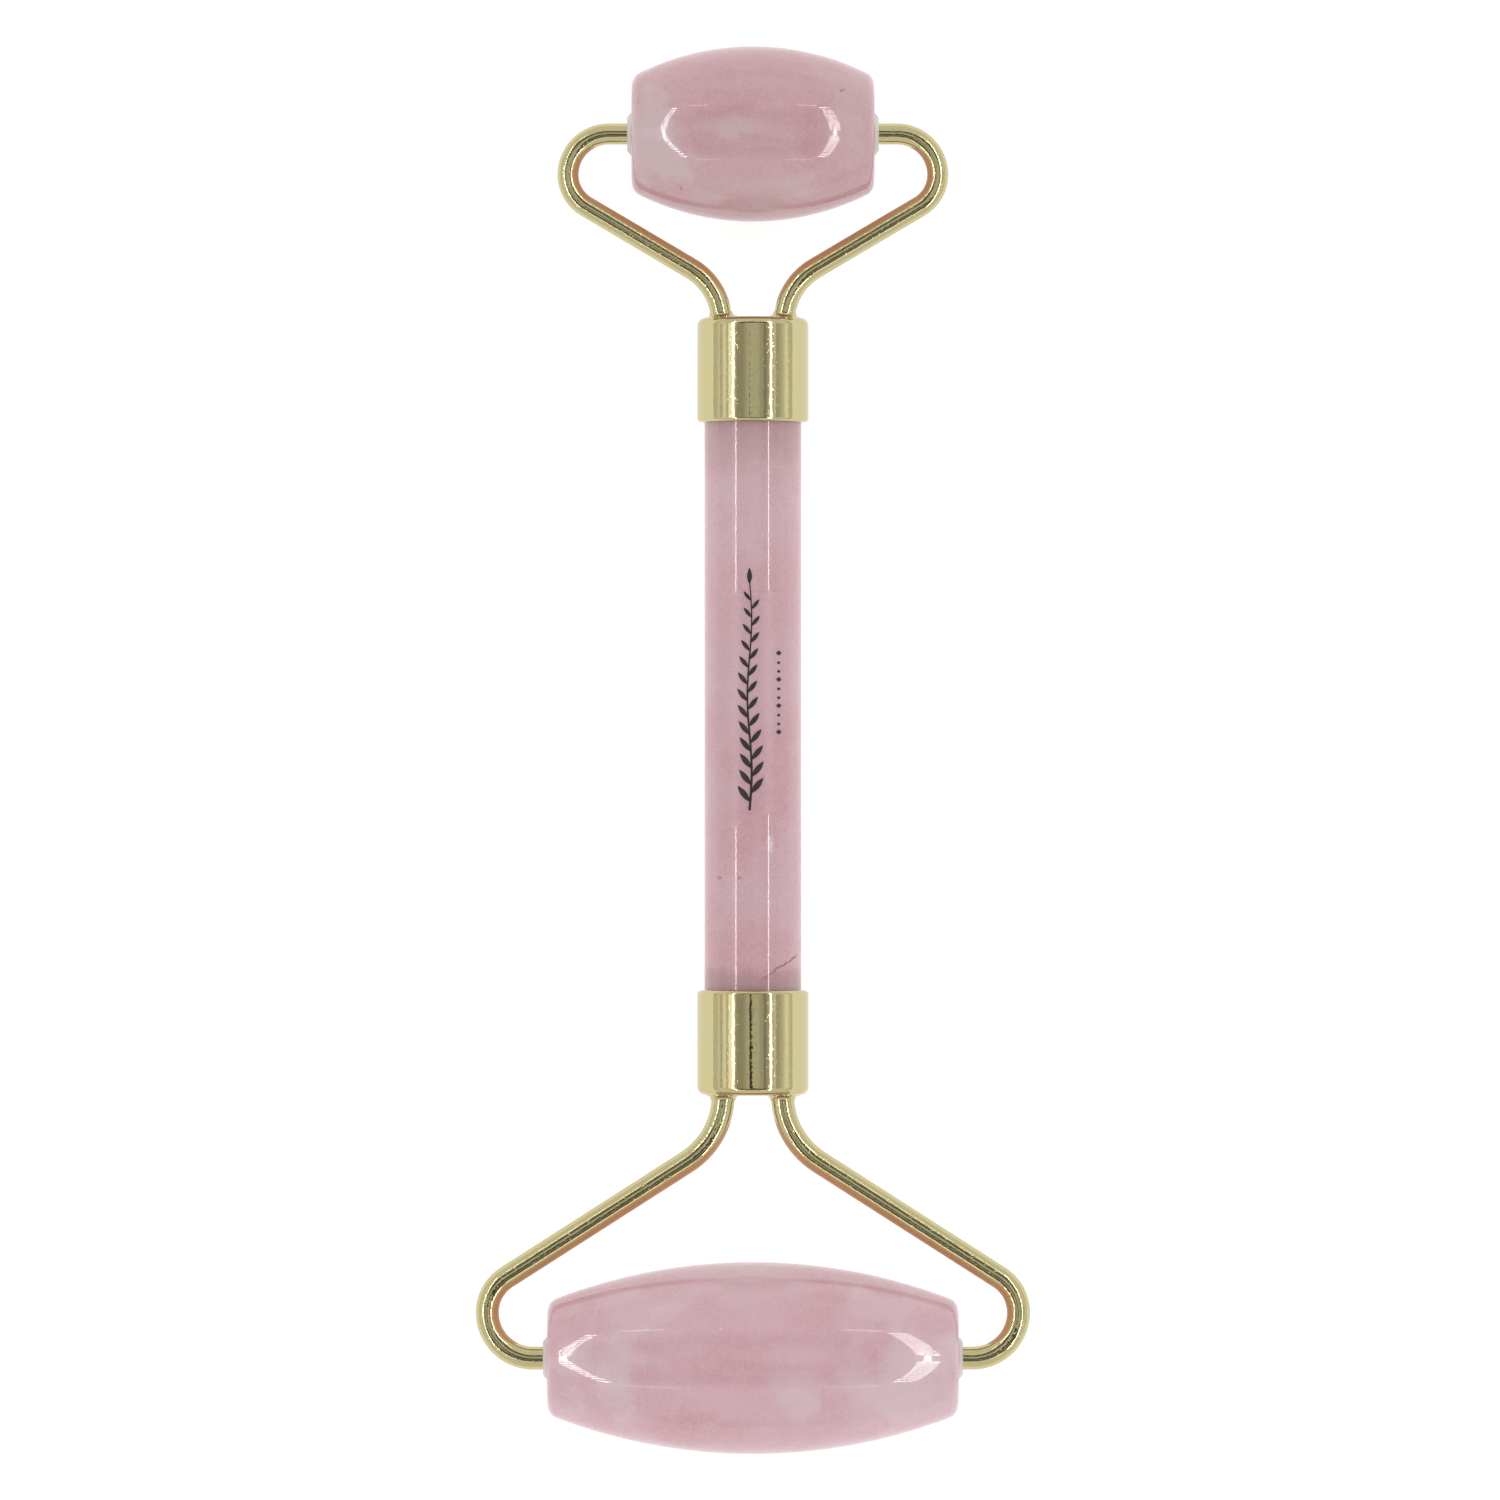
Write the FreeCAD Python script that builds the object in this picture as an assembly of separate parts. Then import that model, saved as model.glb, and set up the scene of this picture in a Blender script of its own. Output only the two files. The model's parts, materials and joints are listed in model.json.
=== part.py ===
"""Two-ended face roller: a stone rod handle in two plated ferrules, each with a
sprung wire fork that carries a barrel stone on nylon bushes.

Every piece is designed about the handle's axis: that axis lies along Y, the small
fork points to +Y, the large fork to -Y, and the middle of the visible handle is the
origin. At the end all pieces are set down together on a level surface, so that both
stones touch it. Millimetres, +Z up.
"""
import FreeCAD, Part
import math
import os

from FreeCAD import Vector

# ---- driving dimensions ----------------------------------------------------------

OVERALL_LENGTH = 145.0         # small stone's far side to large stone's far side

HANDLE_DIAMETER = 10.0
HANDLE_END_CHAMFER = 0.4

FERRULE_DIAMETER = 11.5
FERRULE_LENGTH = 10.8
FERRULE_BORE = 10.3            # leaves a glue line round the handle
FERRULE_END_WALL = 2.0         # the wall that holds the two wires
FERRULE_END_ROUND = 0.8        # outer corner on the fork's side
FERRULE_MOUTH_ROUND = 0.4      # outer corner on the handle's side
FERRULE_MOUTH_CHAMFER = 0.12

GLUE_BED = 1.2                 # adhesive between the end wall and the handle's end
GLUE_RECESS = 0.25             # the glue line stops this far inside the mouth
WIRE_IN_GLUE = 0.8             # how far each wire's root stands into the bed
BRAZE_FILLET = 0.5             # hollow fillet round each wire at the ferrule's face
BRAZE_EDGE = 0.08              # blunt edge of the fillet on the face and on the wire

STUB_LENGTH = 5.5              # wire end inside the bush, from the collar's face
STUB_TIP_CHAMFER = 0.35
RUNNING_CLEARANCE = 0.05       # radial, between the stub and its bush
END_FLOAT = 0.08               # between the stub's tip and the bush's closed end

BUSH_DIAMETER = 4.0            # pressed into the stone's drilled hole
BUSH_LENGTH = 7.2              # from the stone's end face inwards
COLLAR_DIAMETER = 4.4
COLLAR_FACE_DIAMETER = 3.5
COLLAR_HEIGHT = 0.45
COLLAR_LAND = 0.08             # straight edge of the collar under its chamfer
BUSH_MOUTH_CHAMFER = 0.12


class Roller:
    """A barrel stone: length along its axle, largest and end radius, edge round."""

    def __init__(self, name, length, belly_radius, end_radius, edge_round):
        self.name = name
        self.length = length
        self.belly_radius = belly_radius
        self.end_radius = end_radius
        self.edge_round = edge_round


class Fork:
    """One end's pair of mirrored wire arms, measured at the wire's centre line.

    root_offset: from the handle's axis where the wire leaves the ferrule
    splay: angle in degrees between the wire's root and the handle's axis
    slope: angle in degrees between the long straight run and the axle
    half_width: from the handle's axis to the outermost point of the loop
    """

    def __init__(self, wire, root_offset, splay, neck_radius, slope,
                 loop_radius, axle_bend_radius, half_width):
        self.wire = wire
        self.root_offset = root_offset
        self.splay = math.radians(splay)
        self.neck_radius = neck_radius
        self.slope = math.radians(slope)
        self.loop_radius = loop_radius
        self.axle_bend_radius = axle_bend_radius
        self.half_width = half_width


SMALL_STONE = Roller("small", length=25.0, belly_radius=9.05, end_radius=5.9, edge_round=0.8)
LARGE_STONE = Roller("large", length=42.3, belly_radius=9.9, end_radius=5.8, edge_round=0.9)

SMALL_FORK = Fork(wire=2.2, root_offset=3.25, splay=4.0, neck_radius=6.4, slope=30.6,
                  loop_radius=3.8, axle_bend_radius=4.2, half_width=19.05)
LARGE_FORK = Fork(wire=2.4, root_offset=3.05, splay=0.0, neck_radius=8.2, slope=32.6,
                  loop_radius=4.3, axle_bend_radius=4.7, half_width=27.35)

X_AXIS = Vector(1, 0, 0)
Y_AXIS = Vector(0, 1, 0)
Z_AXIS = Vector(0, 0, 1)


# ---- the wire's route, seen from above, in the +X half, growing away from the face ----

def along(angle):
    """Unit direction at this angle from the axle direction, towards the roller."""
    return Vector(math.cos(angle), math.sin(angle), 0)


def arc_between(centre, radius, first, last):
    """Circular edge about centre between two angles, passing through their middle."""
    points = [centre + along(angle) * radius for angle in (first, (first + last) / 2, last)]
    return Part.Arc(*points).toShape()


def line_between(start, end):
    return Part.LineSegment(start, end).toShape()


class ArmRoute:
    """Centre line of one arm, from its root in the glue to the tip of its stub axle."""

    def __init__(self, fork, stone):
        quarter = math.pi / 2
        heading = quarter - fork.splay
        face_point = Vector(fork.root_offset, 0, 0)
        root = face_point - along(heading) * ((FERRULE_END_WALL + WIRE_IN_GLUE) / math.cos(fork.splay))

        neck_centre = face_point + along(heading - quarter) * fork.neck_radius
        neck_end = neck_centre + along(fork.slope + quarter) * fork.neck_radius

        loop_x = fork.half_width - fork.loop_radius
        run_end_x = loop_x + fork.loop_radius * math.sin(fork.slope)
        run_length = (run_end_x - neck_end.x) / math.cos(fork.slope)
        run_end = neck_end + along(fork.slope) * run_length
        loop_centre = run_end + along(fork.slope + quarter) * fork.loop_radius

        bend_centre = Vector(fork.half_width - fork.axle_bend_radius, loop_centre.y, 0)
        axle_start = bend_centre + Y_AXIS * fork.axle_bend_radius
        self.reach = axle_start.y
        self.collar_x = stone.length / 2 + COLLAR_HEIGHT
        tip = Vector(self.collar_x - STUB_LENGTH, self.reach, 0)

        self.root = root
        self.heading = along(heading)
        self.wire = Part.Wire([
            line_between(root, face_point),
            arc_between(neck_centre, fork.neck_radius, heading + quarter, fork.slope + quarter),
            line_between(neck_end, run_end),
            arc_between(loop_centre, fork.loop_radius, fork.slope - quarter, 0),
            arc_between(bend_centre, fork.axle_bend_radius, 0, quarter),
            line_between(axle_start, tip),
        ])


SMALL_ROUTE = ArmRoute(SMALL_FORK, SMALL_STONE)
LARGE_ROUTE = ArmRoute(LARGE_FORK, LARGE_STONE)

AXLE_SPACING_ALONG_HANDLE = OVERALL_LENGTH - SMALL_STONE.belly_radius - LARGE_STONE.belly_radius
HANDLE_VISIBLE = (AXLE_SPACING_ALONG_HANDLE - SMALL_ROUTE.reach - LARGE_ROUTE.reach
                  - 2 * FERRULE_LENGTH)
FACE_Y = HANDLE_VISIBLE / 2 + FERRULE_LENGTH       # each ferrule's fork-side face
HANDLE_LENGTH = 2 * (FACE_Y - FERRULE_END_WALL - GLUE_BED)


# ---- small helpers ------------------------------------------------------------------

def cylinder(radius, start, direction, length):
    return Part.makeCylinder(radius, length, start, direction)


def circle_edges(shape, radius, y):
    """The full circles of this radius whose plane crosses the handle's axis at y."""
    found = []
    for edge in shape.Edges:
        curve = edge.Curve
        if isinstance(curve, Part.Circle) and abs(curve.Radius - radius) < 1e-4 \
                and abs(curve.Center.y - y) < 1e-4:
            found.append(edge)
    return found


def turned(points_and_arcs):
    """Solid turned about the X axis from a closed outline of edges."""
    face = Part.Face(Part.Wire(points_and_arcs))
    return face.revolve(Vector(0, 0, 0), X_AXIS, 360)


def outline(points):
    """Closed outline of straight edges through these (x, radius) points."""
    corners = [Vector(x, radius, 0) for x, radius in points]
    return [line_between(a, b) for a, b in zip(corners, corners[1:] + corners[:1])]


# ---- the fixed pieces, for a fork that points to +Y from a face at y = 0 ---------------

def ferrule(fork, route):
    """Cup with a thick end wall, drilled for the two wires."""
    radius = FERRULE_DIAMETER / 2
    body = cylinder(radius, Vector(0, -FERRULE_LENGTH, 0), Y_AXIS, FERRULE_LENGTH)
    body = body.makeFillet(FERRULE_END_ROUND, circle_edges(body, radius, 0))
    body = body.makeFillet(FERRULE_MOUTH_ROUND, circle_edges(body, radius, -FERRULE_LENGTH))
    bore = cylinder(FERRULE_BORE / 2, Vector(0, -FERRULE_LENGTH, 0), Y_AXIS,
                    FERRULE_LENGTH - FERRULE_END_WALL)
    cup = body.cut(bore)
    cup = cup.makeChamfer(FERRULE_MOUTH_CHAMFER, circle_edges(cup, FERRULE_BORE / 2, -FERRULE_LENGTH))
    for side in (-1, 1):
        cup = cup.cut(wire_root(fork, route, side))
    return cup


def wire_root(fork, route, side):
    """The straight root of one wire, long enough to pass the whole end wall."""
    root = Vector(side * route.root.x, route.root.y, 0)
    heading = Vector(side * route.heading.x, route.heading.y, 0)
    return cylinder(fork.wire / 2, root, heading, FERRULE_END_WALL + 2 * WIRE_IN_GLUE)


def glue(fork, route):
    """Adhesive sleeve and end bed that fill the cup round the handle's end."""
    depth = FERRULE_LENGTH - FERRULE_END_WALL - GLUE_RECESS
    filling = cylinder(FERRULE_BORE / 2, Vector(0, -FERRULE_LENGTH + GLUE_RECESS, 0), Y_AXIS, depth)
    filling = filling.cut(handle().translated(Vector(0, -FACE_Y, 0)))
    for side in (-1, 1):
        filling = filling.cut(wire_root(fork, route, side).cut(bed_limit()))
    return filling


def bed_limit():
    """Everything deeper than the wires' ends, so that the bed closes behind them."""
    depth = FERRULE_END_WALL + WIRE_IN_GLUE
    return cylinder(FERRULE_BORE / 2, Vector(0, -FERRULE_LENGTH, 0), Y_AXIS, FERRULE_LENGTH - depth)


def arm(fork, route, side):
    """One bent wire: root, neck, long run, loop and stub axle."""
    section = Part.Wire([Part.Circle(route.root, route.heading, fork.wire / 2).toShape()])
    rod = Part.Wire(route.wire).makePipeShell([section], True, True)
    rod = rod.cut(bed_limit())
    tip_edge = [edge for edge in rod.Edges
                if isinstance(edge.Curve, Part.Circle) and edge.BoundBox.XLength < 1e-3
                and edge.BoundBox.XMax < route.collar_x - STUB_LENGTH + 1e-3]
    rod = rod.makeChamfer(STUB_TIP_CHAMFER, tip_edge)
    return rod if side > 0 else rod.mirror(Vector(0, 0, 0), X_AXIS)


def braze(fork, route, side, wire_solid, cup):
    """Hollow fillet of brazing metal round one wire on the ferrule's face."""
    inner = fork.wire / 2 + BRAZE_EDGE
    outer = inner + BRAZE_FILLET
    top = BRAZE_EDGE + BRAZE_FILLET
    sink = -0.3
    hollow_centre = Vector(outer, top, 0)
    profile = Part.Wire([
        line_between(Vector(0, sink, 0), Vector(outer, sink, 0)),
        line_between(Vector(outer, sink, 0), Vector(outer, BRAZE_EDGE, 0)),
        arc_between(hollow_centre, BRAZE_FILLET, -math.pi / 2, -math.pi),
        line_between(Vector(inner, top, 0), Vector(0, top, 0)),
        line_between(Vector(0, top, 0), Vector(0, sink, 0)),
    ])
    ring = Part.Face(profile).revolve(Vector(0, 0, 0), Y_AXIS, 360)
    ring.rotate(Vector(0, 0, 0), Z_AXIS, -side * math.degrees(fork.splay))
    ring.translate(Vector(side * fork.root_offset, 0, 0))
    return ring.cut(wire_solid).cut(cup)


def handle():
    """The stone rod, with its hidden ends inside the two ferrules."""
    radius = HANDLE_DIAMETER / 2
    rod = cylinder(radius, Vector(0, -HANDLE_LENGTH / 2, 0), Y_AXIS, HANDLE_LENGTH)
    ends = circle_edges(rod, radius, -HANDLE_LENGTH / 2) + circle_edges(rod, radius, HANDLE_LENGTH / 2)
    return rod.makeChamfer(HANDLE_END_CHAMFER, ends)


# ---- the rollers, turned about the X axis with their middle at the origin --------------

def stone(roller):
    """Barrel with a bulging side, flat ends and a hole drilled right through."""
    half = roller.length / 2
    left_edge = Vector(-half, roller.end_radius, 0)
    belly = Vector(0, roller.belly_radius, 0)
    right_edge = Vector(half, roller.end_radius, 0)
    barrel = turned([
        line_between(Vector(-half, 0, 0), left_edge),
        Part.Arc(left_edge, belly, right_edge).toShape(),
        line_between(right_edge, Vector(half, 0, 0)),
        line_between(Vector(half, 0, 0), Vector(-half, 0, 0)),
    ])
    rims = [edge for edge in barrel.Edges
            if isinstance(edge.Curve, Part.Circle) and edge.BoundBox.XLength < 1e-3
            and abs(edge.Curve.Radius - roller.end_radius) < 1e-3]
    barrel = barrel.makeFillet(roller.edge_round, rims)
    hole = cylinder(BUSH_DIAMETER / 2, Vector(-half, 0, 0), X_AXIS, roller.length)
    return barrel.cut(hole)


def bush(roller, fork, side):
    """Nylon cup pressed into the stone, with a chamfered collar outside."""
    face = roller.length / 2
    bore = fork.wire / 2 + RUNNING_CLEARANCE
    bore_end = face + COLLAR_HEIGHT - STUB_LENGTH - END_FLOAT
    cup = turned(outline([
        (face - BUSH_LENGTH, 0),
        (face - BUSH_LENGTH, BUSH_DIAMETER / 2),
        (face, BUSH_DIAMETER / 2),
        (face, COLLAR_DIAMETER / 2),
        (face + COLLAR_LAND, COLLAR_DIAMETER / 2),
        (face + COLLAR_HEIGHT, COLLAR_FACE_DIAMETER / 2),
        (face + COLLAR_HEIGHT, bore + BUSH_MOUTH_CHAMFER),
        (face + COLLAR_HEIGHT - BUSH_MOUTH_CHAMFER, bore),
        (bore_end, bore),
        (bore_end, 0),
    ]))
    return cup if side > 0 else cup.mirror(Vector(0, 0, 0), X_AXIS)


# ---- putting it together ---------------------------------------------------------------

def resting_place():
    """The move that sets the whole assembly down with both stones on z = 0."""
    tilt = -math.asin((LARGE_STONE.belly_radius - SMALL_STONE.belly_radius)
                      / AXLE_SPACING_ALONG_HANDLE)
    small_axle = FACE_Y + SMALL_ROUTE.reach
    half_length = (SMALL_STONE.belly_radius + LARGE_STONE.belly_radius
                   + AXLE_SPACING_ALONG_HANDLE * math.cos(tilt)) / 2
    rotation = FreeCAD.Rotation(X_AXIS, math.degrees(tilt))
    turned_axle = rotation.multVec(Vector(0, small_axle, 0))
    target = Vector(0, half_length - SMALL_STONE.belly_radius, SMALL_STONE.belly_radius)
    return FreeCAD.Placement(target - turned_axle, rotation)


def moved(shape, placement):
    """A copy of the shape, taken through this placement."""
    copy = shape.copy()
    copy.Placement = placement.multiply(copy.Placement)
    return copy


def build():
    """All pieces by name, in the design position."""
    pieces = {"handle_stone": handle()}
    ends = (("small", SMALL_STONE, SMALL_FORK, SMALL_ROUTE, 1),
            ("large", LARGE_STONE, LARGE_FORK, LARGE_ROUTE, -1))
    for name, roller, fork, route, direction in ends:
        at_face = FreeCAD.Placement(Vector(0, direction * FACE_Y, 0),
                                    FreeCAD.Rotation(Z_AXIS, 0 if direction > 0 else 180))
        at_axle = FreeCAD.Placement(Vector(0, direction * (FACE_Y + route.reach), 0),
                                    FreeCAD.Rotation())
        cup = ferrule(fork, route)
        pieces[name + "_ferrule"] = moved(cup, at_face)
        pieces[name + "_ferrule_adhesive"] = moved(glue(fork, route), at_face)
        pieces[name + "_roller_stone"] = moved(stone(roller), at_axle)
        for side_name, side in (("left", -1), ("right", 1)):
            local_side = side * direction
            wire_solid = arm(fork, route, local_side)
            fillet = braze(fork, route, local_side, wire_solid, cup)
            pieces[f"{name}_{side_name}_arm"] = moved(wire_solid, at_face)
            pieces[f"{name}_{side_name}_braze"] = moved(fillet, at_face)
            pieces[f"{name}_{side_name}_bush"] = moved(bush(roller, fork, side), at_axle)
    return pieces


def main():
    os.makedirs("parts", exist_ok=True)
    place = resting_place()
    for name, shape in build().items():
        placed = moved(shape, place)
        if not placed.isValid() or len(placed.Solids) != 1:
            raise ValueError(name + " is not one valid solid")
        placed.exportStep(f"parts/{name}.step")
        box = placed.BoundBox
        print(f"{name:26s} {placed.Volume:9.1f} mm3  x {box.XMin:7.2f} {box.XMax:7.2f}"
              f"  y {box.YMin:7.2f} {box.YMax:7.2f}  z {box.ZMin:6.2f} {box.ZMax:6.2f}")
    print(f"handle visible {HANDLE_VISIBLE:.2f}, reach {SMALL_ROUTE.reach:.2f} and {LARGE_ROUTE.reach:.2f}")
    for name, route, direction in (("small", SMALL_ROUTE, 1), ("large", LARGE_ROUTE, -1)):
        axle = place.multVec(Vector(0, direction * (FACE_Y + route.reach), 0))
        print(f"{name} axle at y {axle.y:.4f}, z {axle.z:.4f}")


main()
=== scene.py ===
import json
import math

import bmesh
import bpy
from mathutils import Matrix, Vector


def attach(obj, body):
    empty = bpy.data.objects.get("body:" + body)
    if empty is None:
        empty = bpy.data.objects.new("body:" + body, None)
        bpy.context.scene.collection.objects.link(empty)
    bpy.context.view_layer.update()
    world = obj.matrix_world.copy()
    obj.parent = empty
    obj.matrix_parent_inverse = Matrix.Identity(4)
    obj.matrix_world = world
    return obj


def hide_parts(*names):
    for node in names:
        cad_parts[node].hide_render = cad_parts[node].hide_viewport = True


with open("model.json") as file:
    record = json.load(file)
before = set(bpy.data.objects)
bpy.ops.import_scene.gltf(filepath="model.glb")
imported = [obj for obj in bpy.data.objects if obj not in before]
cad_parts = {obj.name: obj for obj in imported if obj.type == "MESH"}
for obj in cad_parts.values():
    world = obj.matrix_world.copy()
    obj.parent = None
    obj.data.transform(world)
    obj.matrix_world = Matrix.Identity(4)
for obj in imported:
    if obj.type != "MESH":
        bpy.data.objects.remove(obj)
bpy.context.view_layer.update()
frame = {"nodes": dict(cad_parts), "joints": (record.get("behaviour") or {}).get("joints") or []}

# ---- sizes of the roller, in millimetres, and steps round and along its pieces -----

MM = 0.001
RADIAL_STEPS = 96              # round the stones, the handle and the ferrules
SMALL_RADIAL_STEPS = 48        # round the nylon cups and the braze fillets
WIRE_STEPS = 40                # round a wire
WIRE_TURN_STEPS = 14           # along the neck and the loop of a wire
WIRE_BEND_STEPS = 20           # along its last bend, at the axle
BARREL_STEPS = 32              # along a stone
FILLET_STEPS = 8
CHAMFER_SEGMENTS = 2
ROUND_SEGMENTS = 8
MERGE_WITHIN = 0.0005

HANDLE_RADIUS = 5.0
HANDLE_CHAMFER = 0.4
FERRULE_RADIUS = 5.75
FERRULE_LENGTH = 10.8
FERRULE_BORE_RADIUS = 5.15
FERRULE_END_WALL = 2.0
FERRULE_END_ROUND = 0.8
FERRULE_MOUTH_ROUND = 0.4
FERRULE_MOUTH_CHAMFER = 0.12
GLUE_BED = 1.2
WIRE_IN_GLUE = 0.8
BRAZE_FILLET = 0.5
BRAZE_EDGE = 0.08
BRAZE_INTO_WIRE = 0.15         # the ring reaches this far under the wire's skin
BRAZE_INTO_FACE = 0.2          # and this far into the ferrule's face
STUB_LENGTH = 5.5
STUB_TIP_CHAMFER = 0.35
RUNNING_CLEARANCE = 0.05
END_FLOAT = 0.08
BUSH_RADIUS = 2.0
BUSH_LENGTH = 7.2
COLLAR_RADIUS = 2.2
COLLAR_FACE_RADIUS = 1.75
COLLAR_HEIGHT = 0.45
COLLAR_LAND = 0.08
BUSH_MOUTH_CHAMFER = 0.12

ENDS = {
    "small": {
        "stone_length": 25.0, "belly_radius": 9.05, "end_radius": 5.9, "edge_round": 0.8,
        "wire_radius": 1.1, "root_offset": 3.25, "splay": math.radians(4.0),
        "neck_radius": 6.4, "slope": math.radians(30.6),
        "loop_radius": 3.8, "axle_bend_radius": 4.2, "half_width": 19.05,
    },
    "large": {
        "stone_length": 42.3, "belly_radius": 9.9, "end_radius": 5.8, "edge_round": 0.9,
        "wire_radius": 1.2, "root_offset": 3.05, "splay": 0.0,
        "neck_radius": 8.2, "slope": math.radians(32.6),
        "loop_radius": 4.3, "axle_bend_radius": 4.7, "half_width": 27.35,
    },
}
SIDES = {"left": -1, "right": 1}


# ---- hand tools -------------------------------------------------------------------

def object_mode():
    if bpy.context.mode != "OBJECT":
        bpy.ops.object.mode_set(mode="OBJECT")


def deselect():
    object_mode()
    bpy.ops.object.select_all(action="DESELECT")


def edit(piece):
    """Opens a piece alone in edit mode, with nothing in it selected."""
    deselect()
    piece.select_set(True)
    bpy.context.view_layer.objects.active = piece
    bpy.ops.object.mode_set(mode="EDIT")
    bpy.ops.mesh.select_all(action="DESELECT")


def pick(piece, kind, test):
    """Selects just the verts, edges or faces whose own points all pass the test."""
    bpy.ops.mesh.select_all(action="DESELECT")
    bpy.ops.mesh.select_mode(type={"verts": "VERT", "edges": "EDGE", "faces": "FACE"}[kind])
    mesh = bmesh.from_edit_mesh(piece.data)
    for item in getattr(mesh, kind):
        points = [item.co] if kind == "verts" else [v.co for v in item.verts]
        if all(test(point / MM) for point in points):
            item.select_set(True)
    mesh.select_flush_mode()
    bmesh.update_edit_mesh(piece.data)


def new_point(name, place):
    """A mesh of one point, made from a small plane, open in edit mode."""
    deselect()
    bpy.ops.mesh.primitive_plane_add(size=MM, location=(0, 0, 0))
    piece = bpy.context.object
    piece.name = name
    piece.data.name = name
    bpy.ops.object.mode_set(mode="EDIT")
    bpy.ops.mesh.select_mode(type="VERT")
    bpy.ops.mesh.select_all(action="SELECT")
    bpy.ops.mesh.merge(type="CENTER")
    bpy.ops.transform.translate(value=Vector(place) * MM)
    return piece


def extrude(step):
    bpy.ops.mesh.extrude_region_move(TRANSFORM_OT_translate={"value": Vector(step) * MM})


def spin(centre, axis, angle, steps):
    bpy.ops.mesh.spin(steps=steps, angle=angle, center=Vector(centre) * MM, axis=axis)


def close_up():
    """Merges what coincides and turns every face outwards."""
    bpy.ops.mesh.select_all(action="SELECT")
    bpy.ops.mesh.remove_doubles(threshold=MERGE_WITHIN * MM)
    bpy.ops.mesh.normals_make_consistent(inside=False)
    object_mode()


def turned(name, outline, axis, steps=RADIAL_STEPS):
    """A lathe piece: an outline of points (along, radius), spun about the axis.

    The outline is closed first, unless both of its ends meet the axis.
    """
    along = Vector(axis)
    outward = Vector((0, 0, 1))
    places = [along * a + outward * r for a, r in outline]
    piece = new_point(name, places[0])
    on_axis = outline[0][1] == 0 and outline[-1][1] == 0
    onward = places[1:] if on_axis else places[1:] + places[:1]
    for here, there in zip(places, onward):
        extrude(there - here)
    bpy.ops.mesh.select_all(action="SELECT")
    bpy.ops.mesh.remove_doubles(threshold=MERGE_WITHIN * MM)
    bpy.ops.mesh.select_all(action="SELECT")
    spin((0, 0, 0), along, math.tau, steps)
    close_up()
    return piece


def round_rings(piece, axis, rings, segments):
    """Rounds the sharp rings at (along, radius, size) of a lathe piece."""
    along = Vector(axis)
    near = 0.01
    for at, radius, size in rings:
        edit(piece)

        def on_ring(point):
            height = point.dot(along)
            return abs(height - at) < near and abs((point - along * height).length - radius) < near

        pick(piece, "edges", on_ring)
        bpy.ops.mesh.bevel(offset=size * MM, segments=segments, affect="EDGES")
        close_up()


def smooth(piece, angle=40):
    """Smooth shading with crisp corners, and flats that stay flat."""
    deselect()
    piece.select_set(True)
    bpy.context.view_layer.objects.active = piece
    bpy.ops.object.shade_smooth_by_angle(angle=math.radians(angle))
    weighted = piece.modifiers.new("flats", "WEIGHTED_NORMAL")
    weighted.keep_sharp = True
    bpy.ops.object.modifier_apply(modifier=weighted.name)


def put(piece, place):
    """Moves a finished piece to its place and leaves its object at the origin."""
    deselect()
    piece.select_set(True)
    bpy.context.view_layer.objects.active = piece
    piece.matrix_world = place
    bpy.ops.object.transform_apply(location=True, rotation=True, scale=True)


def finish_piece(piece, body, slot, material, *nodes):
    piece.data.materials.clear()
    piece.data.materials.append(material)
    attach(piece, body)
    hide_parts(*nodes)


# ---- where the two ends lie --------------------------------------------------------

axles = {joint["child"]: Vector(joint["pos_m"]) for joint in frame["joints"]}
handle_line = (axles["small_roller"] - axles["large_roller"]).normalized()


def turn_to(direction):
    """Rotation that takes +Y to this direction and keeps the forks level across."""
    across = direction.cross(Vector((0, 0, 1))).normalized()
    up = across.cross(direction)
    return Matrix((across, direction, up)).transposed().to_4x4()


def arm_route(end):
    """Centres, angles and runs of one arm, from the ferrule's face at y = 0 outwards."""
    quarter = math.pi / 2
    heading = quarter - end["splay"]
    slope = end["slope"]

    def along(angle):
        return Vector((math.cos(angle), math.sin(angle), 0))

    face = Vector((end["root_offset"], 0, 0))
    neck_centre = face + along(heading - quarter) * end["neck_radius"]
    neck_end = neck_centre + along(slope + quarter) * end["neck_radius"]
    loop_x = end["half_width"] - end["loop_radius"]
    run_end_x = loop_x + end["loop_radius"] * math.sin(slope)
    run = along(slope) * (run_end_x - neck_end.x) / math.cos(slope)
    loop_centre = neck_end + run + along(slope + quarter) * end["loop_radius"]
    bend_centre = Vector((end["half_width"] - end["axle_bend_radius"], loop_centre.y, 0))
    reach = bend_centre.y + end["axle_bend_radius"]
    collar_x = end["stone_length"] / 2 + COLLAR_HEIGHT
    return {
        "face": face, "heading": along(heading), "neck_centre": neck_centre,
        "neck_turn": heading - slope, "run": run, "loop_centre": loop_centre,
        "loop_turn": quarter - slope, "bend_centre": bend_centre, "reach": reach,
        "stub": Vector((collar_x - STUB_LENGTH + STUB_TIP_CHAMFER - bend_centre.x, 0, 0)),
    }


for end_name, end in ENDS.items():
    end["route"] = arm_route(end)
    end["outward"] = handle_line if end_name == "small" else -handle_line
    end["axle"] = axles[end_name + "_roller"]
    end["face_place"] = end["axle"] - end["outward"] * end["route"]["reach"] * MM
    end["face_matrix"] = Matrix.Translation(end["face_place"]) @ turn_to(end["outward"])


# ---- pieces ------------------------------------------------------------------------

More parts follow.
